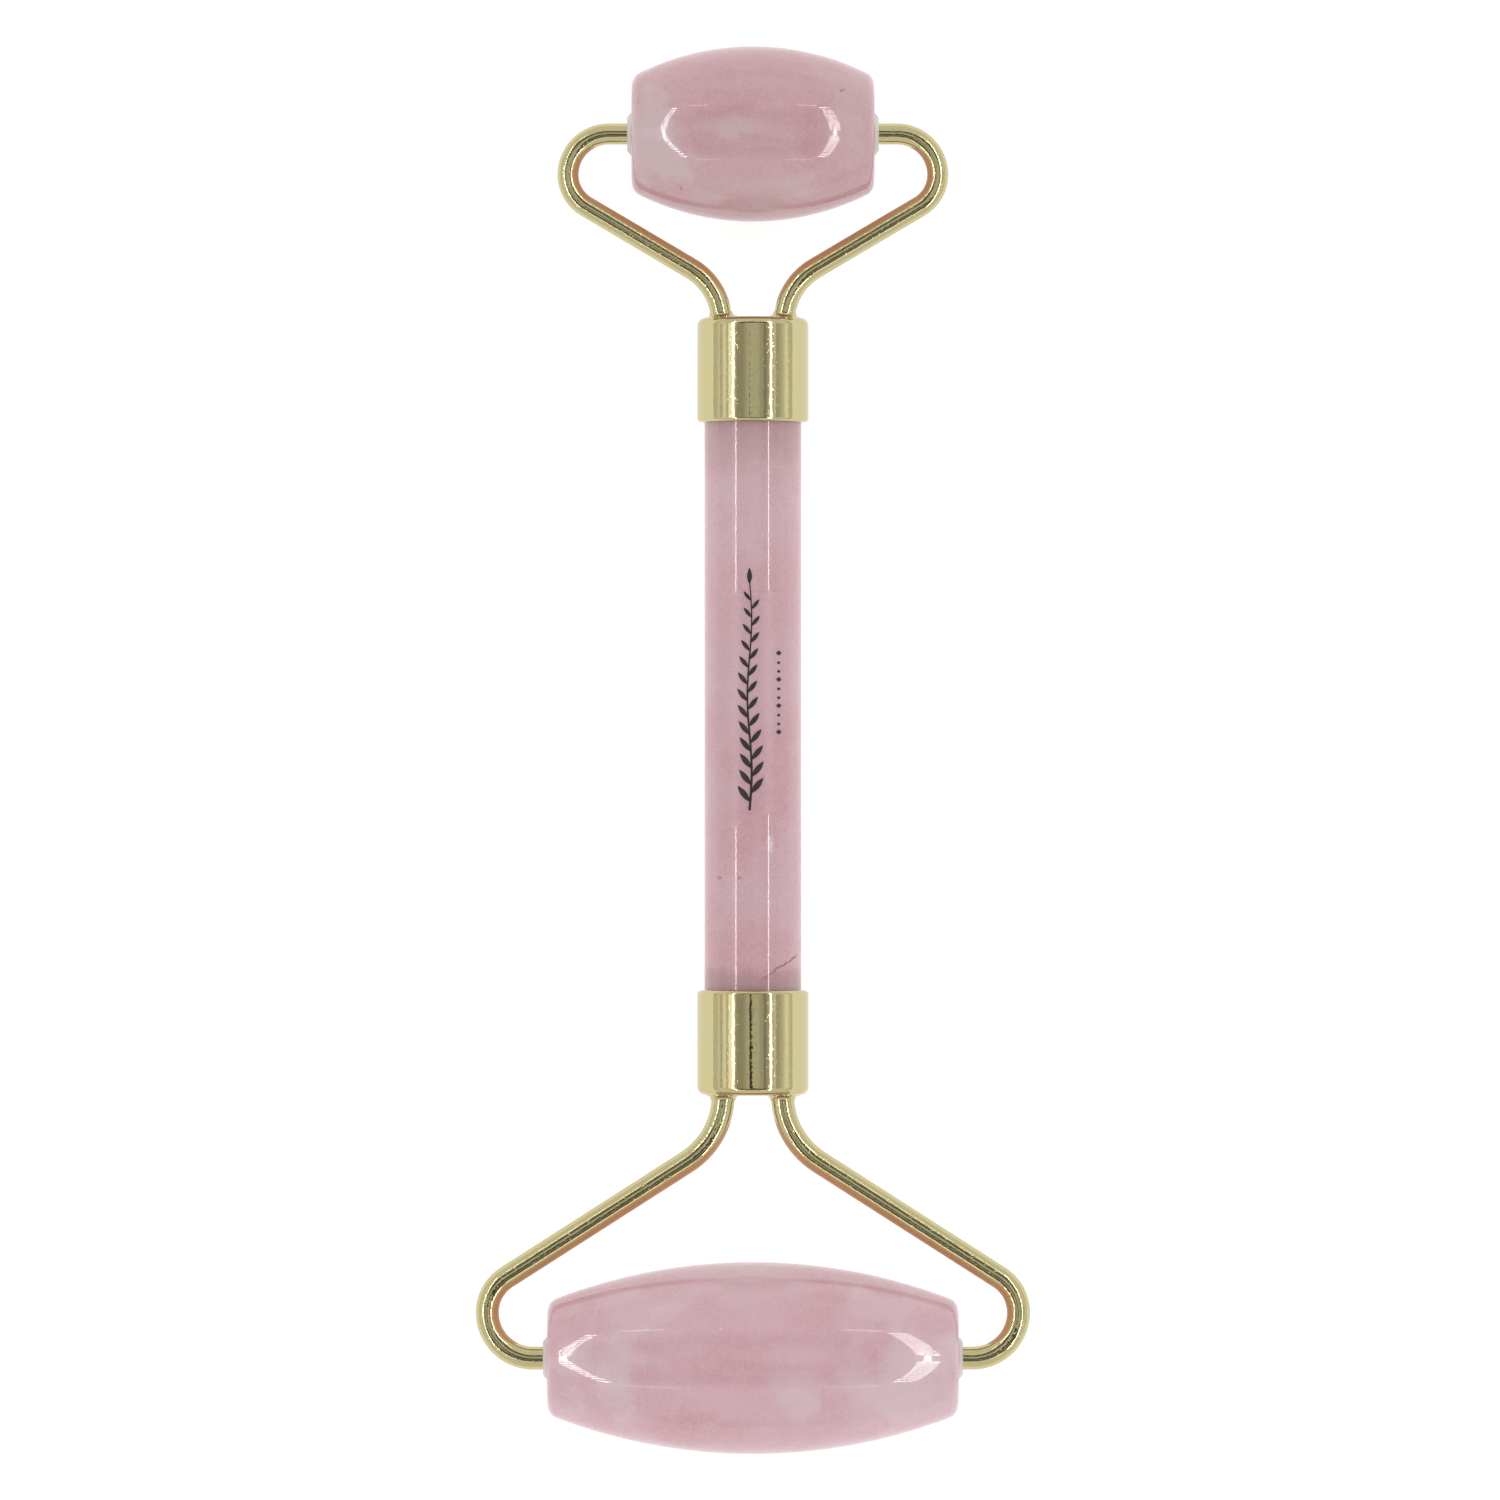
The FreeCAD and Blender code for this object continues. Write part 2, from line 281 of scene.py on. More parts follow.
def make_handle():
    """The polished rod, from one glue bed to the other."""
    faces_apart = (ENDS["small"]["face_place"] - ENDS["large"]["face_place"]).length / MM
    half = faces_apart / 2 - FERRULE_END_WALL - GLUE_BED
    along = (0, 1, 0)
    rod = turned("handle_rod", [(-half, 0), (-half, HANDLE_RADIUS), (half, HANDLE_RADIUS), (half, 0)],
                 along)
    chamfers = [(at, HANDLE_RADIUS, HANDLE_CHAMFER) for at in (-half, half)]
    round_rings(rod, along, chamfers, CHAMFER_SEGMENTS)
    smooth(rod)
    middle = (ENDS["small"]["face_place"] + ENDS["large"]["face_place"]) / 2
    put(rod, Matrix.Translation(middle) @ turn_to(handle_line))
    return rod


def make_ferrule(end_name, end):
    """Plated cup with rounded corners, drilled for the two wires."""
    mouth = -FERRULE_LENGTH
    along = (0, 1, 0)
    cup = turned(end_name + "_cup", [
        (0, 0), (0, FERRULE_RADIUS), (mouth, FERRULE_RADIUS),
        (mouth, FERRULE_BORE_RADIUS + FERRULE_MOUTH_CHAMFER),
        (mouth + FERRULE_MOUTH_CHAMFER, FERRULE_BORE_RADIUS),
        (-FERRULE_END_WALL, FERRULE_BORE_RADIUS), (-FERRULE_END_WALL, 0),
    ], along)
    round_rings(cup, along, [(0, FERRULE_RADIUS, FERRULE_END_ROUND),
                             (mouth, FERRULE_RADIUS, FERRULE_MOUTH_ROUND)], ROUND_SEGMENTS)
    for side in SIDES.values():
        drill(cup, end, side)
    edit(cup)
    bpy.ops.mesh.select_mode(type="EDGE")
    bpy.ops.mesh.select_non_manifold(extend=False)
    bpy.ops.mesh.fill_holes(sides=0)
    close_up()
    smooth(cup)
    put(cup, end["face_matrix"])
    return cup


def drill(cup, end, side):
    """Cuts one wire's hole through the end wall, with a drill that stands out on both sides."""
    depth = 3 * FERRULE_END_WALL * MM
    place = Vector((side * end["root_offset"], 0, 0)) * MM
    tilt = (-math.pi / 2, 0, -side * end["splay"])
    deselect()
    bpy.ops.mesh.primitive_cylinder_add(vertices=WIRE_STEPS, radius=end["wire_radius"] * MM,
                                        depth=depth, location=place, rotation=tilt)
    cutter = bpy.context.object
    cut = cup.modifiers.new("hole", "BOOLEAN")
    cut.operation = "DIFFERENCE"
    cut.solver = "EXACT"
    cut.object = cutter
    bpy.context.view_layer.objects.active = cup
    bpy.ops.object.modifier_apply(modifier=cut.name)
    bpy.data.objects.remove(cutter)


def make_arm(end_name, side_name, end):
    """One wire: a ring at its root, extruded and spun through every run and bend."""
    side = SIDES[side_name]
    route = end["route"]
    root_length = (FERRULE_END_WALL + WIRE_IN_GLUE) / route["heading"].y
    root = route["face"] - route["heading"] * root_length
    deselect()
    bpy.ops.mesh.primitive_circle_add(vertices=WIRE_STEPS, radius=end["wire_radius"] * MM,
                                      location=root * MM,
                                      rotation=(-math.pi / 2, 0, -end["splay"]))
    wire = bpy.context.object
    wire.name = f"{end_name}_{side_name}_wire"
    wire.data.name = wire.name
    bpy.ops.object.transform_apply(location=True, rotation=True, scale=True)
    edit(wire)
    bpy.ops.mesh.select_mode(type="EDGE")
    bpy.ops.mesh.select_all(action="SELECT")
    extrude(route["heading"] * root_length)
    spin(route["neck_centre"], (0, 0, 1), route["neck_turn"], WIRE_TURN_STEPS)
    extrude(route["run"])
    spin(route["loop_centre"], (0, 0, -1), route["loop_turn"], WIRE_TURN_STEPS)
    spin(route["bend_centre"], (0, 0, -1), math.pi / 2, WIRE_BEND_STEPS)
    extrude(route["stub"])
    extrude((-STUB_TIP_CHAMFER, 0, 0))
    tip_scale = 1 - STUB_TIP_CHAMFER / end["wire_radius"]
    bpy.ops.transform.resize(value=(1, tip_scale, tip_scale))
    bpy.ops.mesh.select_all(action="DESELECT")
    bpy.ops.mesh.select_mode(type="EDGE")
    bpy.ops.mesh.select_non_manifold(extend=False)
    bpy.ops.mesh.fill_holes(sides=0)
    close_up()
    smooth(wire, angle=30)
    if end_name == "large":
        side = -side
    if side < 0:
        mirror_across(wire)
    put(wire, end["face_matrix"])
    return wire


def mirror_across(piece):
    """Mirrors a piece left to right about the handle and turns its faces out again."""
    edit(piece)
    bpy.ops.mesh.select_all(action="SELECT")
    bpy.ops.transform.resize(value=(-1, 1, 1), center_override=(0, 0, 0))
    bpy.ops.mesh.normals_make_consistent(inside=False)
    object_mode()


def make_braze(end_name, side_name, end):
    """Hollow ring of brazing metal where a wire leaves its ferrule."""
    inner = end["wire_radius"] + BRAZE_EDGE
    outer = inner + BRAZE_FILLET
    top = BRAZE_EDGE + BRAZE_FILLET
    hidden = end["wire_radius"] - BRAZE_INTO_WIRE
    sink = -BRAZE_INTO_FACE
    hollow = []
    for step in range(FILLET_STEPS + 1):
        angle = -math.pi / 2 * (1 + step / FILLET_STEPS)
        hollow.append((top + BRAZE_FILLET * math.sin(angle), outer + BRAZE_FILLET * math.cos(angle)))
    ring = turned(f"{end_name}_{side_name}_fillet",
                  [(sink, hidden), (sink, outer)] + hollow + [(top, hidden)],
                  (0, 1, 0), SMALL_RADIAL_STEPS)
    smooth(ring, angle=50)
    side = SIDES[side_name]
    if end_name == "large":
        side = -side
    stand = Matrix.Translation(Vector((side * end["root_offset"], 0, 0)) * MM)
    lean = Matrix.Rotation(-side * end["splay"], 4, "Z")
    put(ring, end["face_matrix"] @ stand @ lean)
    return ring


def make_stone(end_name, end):
    """Barrel stone with a drilled hole, softly rounded at both end faces."""
    half = end["stone_length"] / 2
    belly, rim = end["belly_radius"], end["end_radius"]
    bulge = belly - rim
    arc_radius = (half ** 2 + bulge ** 2) / (2 * bulge)
    arc_half = math.asin(half / arc_radius)
    side = []
    for step in range(BARREL_STEPS + 1):
        angle = arc_half * (2 * step / BARREL_STEPS - 1)
        side.append((arc_radius * math.sin(angle), belly - arc_radius * (1 - math.cos(angle))))
    along = (1, 0, 0)
    barrel = turned(end_name + "_barrel", [(-half, BUSH_RADIUS)] + side + [(half, BUSH_RADIUS)], along)
    round_rings(barrel, along, [(at, rim, end["edge_round"]) for at in (-half, half)], ROUND_SEGMENTS)
    smooth(barrel, angle=50)
    put(barrel, Matrix.Translation(end["axle"]))
    return barrel


def make_bush(end_name, side_name, end):
    """Nylon cup with a chamfered collar, pressed into the stone."""
    face = end["stone_length"] / 2
    bore = end["wire_radius"] + RUNNING_CLEARANCE
    bore_end = face + COLLAR_HEIGHT - STUB_LENGTH - END_FLOAT
    side = SIDES[side_name]
    bush = turned(f"{end_name}_{side_name}_nylon", [
        (face - BUSH_LENGTH, 0), (face - BUSH_LENGTH, BUSH_RADIUS), (face, BUSH_RADIUS),
        (face, COLLAR_RADIUS), (face + COLLAR_LAND, COLLAR_RADIUS),
        (face + COLLAR_HEIGHT, COLLAR_FACE_RADIUS),
        (face + COLLAR_HEIGHT, bore + BUSH_MOUTH_CHAMFER),
        (face + COLLAR_HEIGHT - BUSH_MOUTH_CHAMFER, bore),
        (bore_end, bore), (bore_end, 0),
    ], (side, 0, 0), SMALL_RADIAL_STEPS)
    smooth(bush)
    put(bush, Matrix.Translation(end["axle"]))
    return bush


PRINT_FROM = -6.2              # the printed sprig's stem, along the handle
PRINT_TO = 17.4
PRINT_CENTRE = -0.35           # across the handle
PRINT_HEIGHT = 20.0            # it is drawn flat above the handle, then laid down on it
STEM_WIDTH = 0.20
STEM_FOOT = 1.25               # share of that width at its foot, and what it loses by its tip
STEM_TAPER = 0.7
STEM_WAVE = 0.22
STEM_WAVES = 1.5
STEM_ROWS = 60
LEAF_LENGTH = 2.15
LEAF_WIDTH = 0.62
LEAF_FULLNESS = 0.9            # below 1 the leaf is blunter
LEAF_PITCH = 1.72
LEAF_LEAN = math.radians(38)
LEAF_SHRINK = 0.45             # what the leaves lose towards the tip
LEAF_ROWS = 12
TIP_LEAF = 0.8                 # size of the last leaf
TIP_LEAF_SINK = 0.4
DOT_ROW = 2.65                 # a finer row of dots beside the sprig
DOT_FROM = 1.6
DOT_TO = 9.7
DOT_COUNT = 10
DOT_SIZE = 0.34
DOT_LARGE = 1.5                # every third dot is larger
DOT_ROWS = 6
INK_GAP = 0.008
INK_THICKNESS = 0.02


def flat_grid(name, across, rows, width, length):
    """A flat strip of cells, its foot at the origin and running up Y."""
    deselect()
    bpy.ops.mesh.primitive_grid_add(x_subdivisions=across, y_subdivisions=rows, size=MM,
                                    location=(0, 0, 0))
    strip = bpy.context.object
    strip.name = name
    strip.data.name = name
    edit(strip)
    bpy.ops.mesh.select_all(action="SELECT")
    bpy.ops.transform.resize(value=(width, length, 1))
    bpy.ops.transform.translate(value=(0, length / 2 * MM, 0))
    return strip


def shape_rows(strip, rows, length, width_at, shift_at):
    """Narrows and shifts each row of a strip; both are worked out from 0 at the foot to 1."""
    for row in range(rows + 1):
        share = row / rows
        height = length * share
        pick(strip, "verts", lambda point: abs(point.y - height) < 0.2 * length / rows)
        width = max(width_at(share), 0.001)
        bpy.ops.transform.resize(value=(width, 1, 1), center_override=(0, height * MM, 0))
        bpy.ops.transform.translate(value=(shift_at(share) * MM, 0, 0))


def stem_width(share):
    return STEM_FOOT - STEM_TAPER * share


def stem_shift(share):
    return STEM_WAVE * math.sin(share * math.tau * STEM_WAVES)


def leaf_width(share):
    return math.sin(math.pi * share) ** LEAF_FULLNESS


def dot_width(share):
    return math.sin(math.pi * share)


def no_shift(share):
    return 0.0


def make_print(handle):
    """A leafy sprig and a row of dots in dark ink, laid on the top of the handle."""
    length = PRINT_TO - PRINT_FROM
    stem = flat_grid("ink_stem", 3, STEM_ROWS, STEM_WIDTH, length)
    shape_rows(stem, STEM_ROWS, length, stem_width, stem_shift)
    object_mode()
    leaf = flat_grid("ink_leaf", 4, LEAF_ROWS, LEAF_WIDTH, LEAF_LENGTH)
    shape_rows(leaf, LEAF_ROWS, LEAF_LENGTH, leaf_width, no_shift)
    close_up()
    dot = flat_grid("ink_dot", 4, DOT_ROWS, DOT_SIZE, DOT_SIZE)
    shape_rows(dot, DOT_ROWS, DOT_SIZE, dot_width, no_shift)
    close_up()
    parts = [stem]
    leaf_count = int((length - LEAF_LENGTH) / LEAF_PITCH) + 1
    for step in range(1, 2 * leaf_count):
        share = step * LEAF_PITCH / 2 / length
        lean = LEAF_LEAN if step % 2 else -LEAF_LEAN
        size = 1.0 - LEAF_SHRINK * share
        parts.append(laid_copy(leaf, (stem_shift(share), share * length), lean, size))
    parts.append(laid_copy(leaf, (stem_shift(1.0), length - TIP_LEAF_SINK), 0.0, TIP_LEAF))
    for step in range(DOT_COUNT):
        height = DOT_FROM + (DOT_TO - DOT_FROM) * step / (DOT_COUNT - 1) - PRINT_FROM
        size = 1.0 if step % 3 else DOT_LARGE
        parts.append(laid_copy(dot, (DOT_ROW - PRINT_CENTRE, height), 0.0, size))
    for spare in (leaf, dot):
        bpy.data.objects.remove(spare)
    deselect()
    for part in parts:
        part.select_set(True)
    bpy.context.view_layer.objects.active = stem
    bpy.ops.object.join()
    stem.name = "ink_sprig"
    stem.data.name = stem.name
    put(stem, Matrix.Translation(Vector((PRINT_CENTRE, PRINT_FROM, PRINT_HEIGHT)) * MM))
    wrap = stem.modifiers.new("lay_down", "SHRINKWRAP")
    wrap.target = handle
    wrap.wrap_method = "PROJECT"
    wrap.use_project_z = True
    wrap.use_negative_direction = True
    wrap.use_positive_direction = False
    wrap.offset = INK_GAP * MM
    film = stem.modifiers.new("film", "SOLIDIFY")
    film.thickness = INK_THICKNESS * MM
    film.offset = 1.0
    for modifier in (wrap.name, film.name):
        bpy.ops.object.modifier_apply(modifier=modifier)
    return stem


def laid_copy(pattern, place, lean, size):
    """A copy of a flat shape with its own mesh, turned about its foot and set down."""
    made = pattern.copy()
    made.data = pattern.data.copy()
    bpy.context.collection.objects.link(made)
    spot = Matrix.Translation(Vector((*place, 0)) * MM)
    put(made, spot @ Matrix.Rotation(lean, 4, "Z") @ Matrix.Scale(size, 4))
    return made


# ---- materials ---------------------------------------------------------------------

def new_material(name):
    material = bpy.data.materials.new(name)
    material.use_nodes = True
    material.node_tree.nodes.clear()
    return material


def node(material, kind, inputs=None, **settings):
    """Adds a node; an input given as another node's output is linked."""
    made = material.node_tree.nodes.new("ShaderNode" + kind)
    for key, value in settings.items():
        setattr(made, key, value)
    for key, value in (inputs or {}).items():
        socket = made.inputs[key]
        if isinstance(value, bpy.types.NodeSocket):
            material.node_tree.links.new(value, socket)
        else:
            socket.default_value = value
    return made


def millimetres(material, offset=(0, 0, 0), turn=(0, 0, 0), stretch=(1, 1, 1)):
    """Object coordinates counted in millimetres, shifted so that pieces differ."""
    place = node(material, "TexCoord").outputs["Object"]
    scale = [s / MM for s in stretch]
    return node(material, "Mapping", {"Vector": place, "Location": offset, "Rotation": turn,
                                      "Scale": scale}).outputs["Vector"]


def noise(material, place, scale, detail=2.0, roughness=0.5, distortion=0.0):
    return node(material, "TexNoise", {"Vector": place, "Scale": scale, "Detail": detail,
                                       "Roughness": roughness, "Distortion": distortion}).outputs["Fac"]


def math_node(material, operation, *values):
    made = node(material, "Math", {i: v for i, v in enumerate(values)}, operation=operation)
    return made.outputs[0]


def times(material, first, second):
    return math_node(material, "MULTIPLY", first, second)


def plus(material, first, second):
    return math_node(material, "ADD", first, second)


def minus(material, first, second):
    return math_node(material, "SUBTRACT", first, second)


def size_of(material, value):
    return math_node(material, "ABSOLUTE", value)


def wobble(material, place, reach, scale, detail=2.0, roughness=0.5):
    """Noise about zero, for edges and lines that shouldn't be even."""
    return times(material, minus(material, noise(material, place, scale, detail, roughness), 0.5), reach)


def between(material, value, low, high, to_low=0.0, to_high=1.0):
    """Smooth step of a value from low to high."""
    made = node(material, "MapRange", {"Value": value, "From Min": low, "From Max": high,
                                       "To Min": to_low, "To Max": to_high},
                interpolation_type="SMOOTHSTEP")
    return made.outputs["Result"]


def blend_colour(material, share, low, high, mode="MIX"):
    """Colour low where share is 0 and high where it is 1."""
    made = node(material, "Mix", {"Factor": share}, data_type="RGBA", blend_type=mode)
    for socket, value in ((made.inputs[6], low), (made.inputs[7], high)):
        if isinstance(value, bpy.types.NodeSocket):
            material.node_tree.links.new(value, socket)
        else:
            socket.default_value = (*value, 1)
    return made.outputs[2]


def bump(material, height, strength, distance, below=None):
    inputs = {"Height": height, "Strength": strength, "Distance": distance * MM}
    if below is not None:
        inputs["Normal"] = below
    return node(material, "Bump", inputs).outputs["Normal"]


def surface(material, inputs):
    shader = node(material, "BsdfPrincipled", inputs)
    node(material, "OutputMaterial", {"Surface": shader.outputs["BSDF"]})
    return shader


def vector_node(material, operation, first, second):
    return node(material, "VectorMath", {0: first, 1: second}, operation=operation).outputs[0]


def length_of(material, vector):
    return node(material, "VectorMath", {0: vector}, operation="LENGTH").outputs["Value"]


def patch(material, place, ragged, centre, size):
    """Share of 1 in the middle of a cloudy patch, fading to 0 at its ragged edge."""
    offset = vector_node(material, "SUBTRACT", place, centre)
    far = length_of(material, vector_node(material, "DIVIDE", offset, size))
    return between(material, plus(material, far, ragged), 1.0, 0.25)


ROSE_DEEP = (0.590, 0.310, 0.358)
ROSE = (0.635, 0.390, 0.435)
ROSE_PALE = (0.665, 0.500, 0.540)
ROSE_WISP = (0.800, 0.700, 0.720)
# brown for small flaws, and for the painted shade at the handle's ferrules
ROSE_BROWN = (0.36, 0.215, 0.205)
FLAW_DARK = (0.22, 0.10, 0.08)
HAZE_SHARE = 0.4               # strongest share of each pale layer in the stone
WISP_SHARE = 0.16
MOTTLE_SHARE = 0.16
GRAIN_SHARE = 0.22
PATCH_RAGGED = 2.6             # how ragged the patches and the flaws are
FLAW_RAGGED = 2.4
FLAW_SHARE = 0.7


def rose_quartz(name, offset, turn, tint, patches, flaws):
    """Cloudy pink quartz: soft clouds, haze, placed patches, wisps, grain and flaws.

    Returns the material with its colour, its grain and its shifted place.
    """
    m = new_material(name)
    here = millimetres(m)
    place = millimetres(m, offset, turn)
    clouds = noise(m, place, 0.075, 2.0, 0.5, 0.3)
    colour = blend_colour(m, between(m, clouds, 0.25, 0.75, 0.25, 1.0), ROSE_DEEP, ROSE)
    haze = noise(m, millimetres(m, offset, turn, (0.6, 1.0, 1.4)), 0.10, 3.0, 0.5, 0.4)
    colour = blend_colour(m, between(m, haze, 0.45, 0.78, 0.0, HAZE_SHARE), colour, ROSE_PALE)
    ragged = wobble(m, place, PATCH_RAGGED, 0.24, 4.0, 0.6)
    for tone, strength, centre, size in patches:
        share = times(m, patch(m, here, ragged, centre, size), strength)
        colour = blend_colour(m, share, colour, tone)
    ridge = size_of(m, minus(m, noise(m, place, 0.12, 2.0, 0.5, 1.0), 0.5))
    wisps = times(m, between(m, ridge, 0.030, 0.0),
                  between(m, noise(m, place, 0.17), 0.52, 0.74, 0.0, WISP_SHARE))
    colour = blend_colour(m, wisps, colour, ROSE_WISP)
    grain = noise(m, place, 4.2, 2.0, 0.8)
    mottle = noise(m, place, 0.8, 4.0, 0.7)
    colour = blend_colour(m, between(m, mottle, 0.35, 0.70, 0.0, MOTTLE_SHARE), colour, ROSE_PALE)
    colour = blend_colour(m, between(m, grain, 0.3, 0.7, 0.0, GRAIN_SHARE), colour, ROSE_WISP)
    for tone, centre, size in flaws:
        chip = wobble(m, here, FLAW_RAGGED, 3.0)
        share = times(m, patch(m, here, chip, centre, size), FLAW_SHARE)
        colour = blend_colour(m, share, colour, tone)
    colour = blend_colour(m, 1.0, colour, tint, "MULTIPLY")
    return m, colour, grain, place


HANDLE_WAVES = 0.008           # height of the waves left in the polish
ROLLER_WAVES = 0.04


def polish(m, colour, grain, place, roughness, wave_height):
    """The polished skin of a stone: long soft waves left by the wheel and a very fine grain."""
    waves = bump(m, noise(m, place, 0.16, 1.0), 0.30, wave_height)
    skin = bump(m, grain, 0.10, 0.002, waves)
    surface(m, {"Base Color": colour, "Roughness": roughness, "IOR": 1.54, "Subsurface Weight": 0.30,
                "Subsurface Radius": (1.0, 0.55, 0.6), "Subsurface Scale": 2.0 * MM, "Normal": skin})


def roller_quartz(name, offset, turn, tint, patches, flaws):
    m, colour, grain, place = rose_quartz(name, offset, turn, tint, patches, flaws)
    roughness = between(m, noise(m, place, 0.35), 0.3, 0.7, 0.004, 0.015)
    polish(m, colour, grain, place, roughness, ROLLER_WAVES)
    return m


SATIN_FROM = -7.2              # the print sits on a satin stretch of the handle
SATIN_TO = 16.3
SATIN_SIDES = (4.5, 3.0)       # across the handle, from none to full
# painted shade: the satin stretch's colour is made a little darker to offset its brighter sheen
SATIN_SHADE = (0.965, 0.965, 0.965)
SATIN_SLANT = 0.38             # how much further down its lower edge runs on the left
SATIN_EDGE = 0.6
SATIN_ROUGHNESS = 0.36
POLISHED_ROUGHNESS = 0.012
UPPER_SHADE_ENDS = (26.6, 32.6)     # painted shade, with the glue seen through the stone, browns the quartz between these at the two ferrules
LOWER_SHADE_ENDS = (-21.9, -23.3)
UPPER_SHADE = 0.42             # how strong that painted shade is at each
LOWER_SHADE = 0.60
SHADE_RAGGED = 2.4
CRACK_FROM = (-0.3, -24.5)     # across and along the handle
CRACK_TO = (4.5, -21.1)
CRACK_WIDTH = 0.14
CRACK_WANDER = 1.3
CRACK_SHARE = 0.9
TOP_SIDE = (9.6, 10.4)         # heights between which the crack comes in


def crack(m, here, start, finish, width):
    """Share of 1 along a thin wandering crack on the top side, fading out at its start."""
    run = Vector(finish) - Vector(start)
    along = run.normalized()
    split = node(m, "SeparateXYZ", {"Vector": here}).outputs
    x = minus(m, split["X"], start[0])
    y = minus(m, split["Y"], start[1])
    travelled = plus(m, times(m, x, along.x), times(m, y, along.y))
    off = minus(m, times(m, x, -along.y), times(m, y, -along.x))
    wander = wobble(m, here, CRACK_WANDER, 0.9, 4.0, 0.7)
    near = between(m, size_of(m, plus(m, off, wander)), width, width * 0.3)
    faded = between(m, travelled, 0.0, run.length * 0.75)
    stopped = between(m, travelled, run.length + 0.2, run.length - 0.2)
    top = between(m, split["Z"], *TOP_SIDE)
    share = times(m, near, times(m, faded, stopped))
    return times(m, share, top)


def handle_quartz(patches, flaws):
    """The handle's quartz: browner at the ferrules from the glue seen through it and from painted shade,
    cracked at one end, satin under the print, where its colour is painted a shade darker.
    """
    m, colour, grain, place = rose_quartz("rose_quartz_handle", (12, 40, 3), (0.2, 0.1, 0.4),
                                          (0.905, 0.885, 0.88), patches, flaws)
    here = millimetres(m)
    split = node(m, "SeparateXYZ", {"Vector": here}).outputs
    # painted shade where the stone goes into the ferrules, mixed with the glue seen through it
    along = plus(m, split["Y"], wobble(m, here, SHADE_RAGGED, 0.5, 3.0, 0.6))
    upper = between(m, along, *UPPER_SHADE_ENDS, 0.0, UPPER_SHADE)
    lower = between(m, along, *LOWER_SHADE_ENDS, 0.0, LOWER_SHADE)
    colour = blend_colour(m, upper, colour, ROSE_BROWN)
    colour = blend_colour(m, lower, colour, ROSE_BROWN)
    line = crack(m, here, CRACK_FROM, CRACK_TO, CRACK_WIDTH)
    colour = blend_colour(m, times(m, line, CRACK_SHARE), colour, FLAW_DARK)
    slanted = minus(m, split["Y"], times(m, split["X"], SATIN_SLANT))
    satin = times(m, between(m, slanted, SATIN_FROM - SATIN_EDGE, SATIN_FROM + SATIN_EDGE),
                  between(m, split["Y"], SATIN_TO + SATIN_EDGE, SATIN_TO - SATIN_EDGE))
    beside = size_of(m, split["X"])
    satin = times(m, satin, between(m, beside, *SATIN_SIDES))
    # painted shade on the satin stretch, offsetting its brighter sheen
    colour = blend_colour(m, satin, colour, SATIN_SHADE, "MULTIPLY")
    roughness = between(m, satin, 0.0, 1.0, POLISHED_ROUGHNESS, SATIN_ROUGHNESS)
    polish(m, colour, grain, place, roughness, HANDLE_WAVES)
    return m


GOLD = (0.55, 0.498, 0.264)
GOLD_WARM = (0.57, 0.485, 0.246)
# painted reflection of the pink stones on the wires' sides that face them
STONE_REFLECTION_TINT = (0.50, 0.275, 0.115)
STONE_REFLECTION_FROM = 0.30               # how squarely a side faces the roller where the pink reflection of the stones is painted on
STONE_REFLECTION_TO = 0.42
STONE_REFLECTION_RAGGED = 0.10
STONE_REFLECTION_METAL_LOSS = 0.85
STONE_REFLECTION_DULLING = 0.30
WORN_DULLING = 0.05
HANDLE_MIDDLE = 5.0            # the two ends meet this far to each side of the middle
PEEL_HEIGHT = 0.025
POCK_DEPTH = 0.7               # share of the height of the pits


def painted_stone_reflection(m):
    """Share of 1 on the sides of the wires that face the nearer roller, where the pink reflection of the
    stones is painted.
    """
    here = node(m, "TexCoord").outputs["Object"]
    normal = node(m, "NewGeometry").outputs["Normal"]
    upper_end = between(m, node(m, "SeparateXYZ", {"Vector": here}).outputs["Y"],
                        -HANDLE_MIDDLE * MM, HANDLE_MIDDLE * MM)
    uneven = wobble(m, millimetres(m), STONE_REFLECTION_RAGGED, 0.8, 3.0)
    share = 0.0
    for end_name, weight in (("small", upper_end), ("large", minus(m, 1.0, upper_end))):
        to_roller = vector_node(m, "SUBTRACT", tuple(axles[end_name + "_roller"]), here)
        aim = node(m, "VectorMath", {0: to_roller}, operation="NORMALIZE").outputs[0]
        facing = node(m, "VectorMath", {0: aim, 1: normal}, operation="DOT_PRODUCT").outputs["Value"]
        facing = plus(m, facing, uneven)
        warm = times(m, between(m, facing, STONE_REFLECTION_FROM, STONE_REFLECTION_TO), weight)
        share = plus(m, share, warm)
    return share


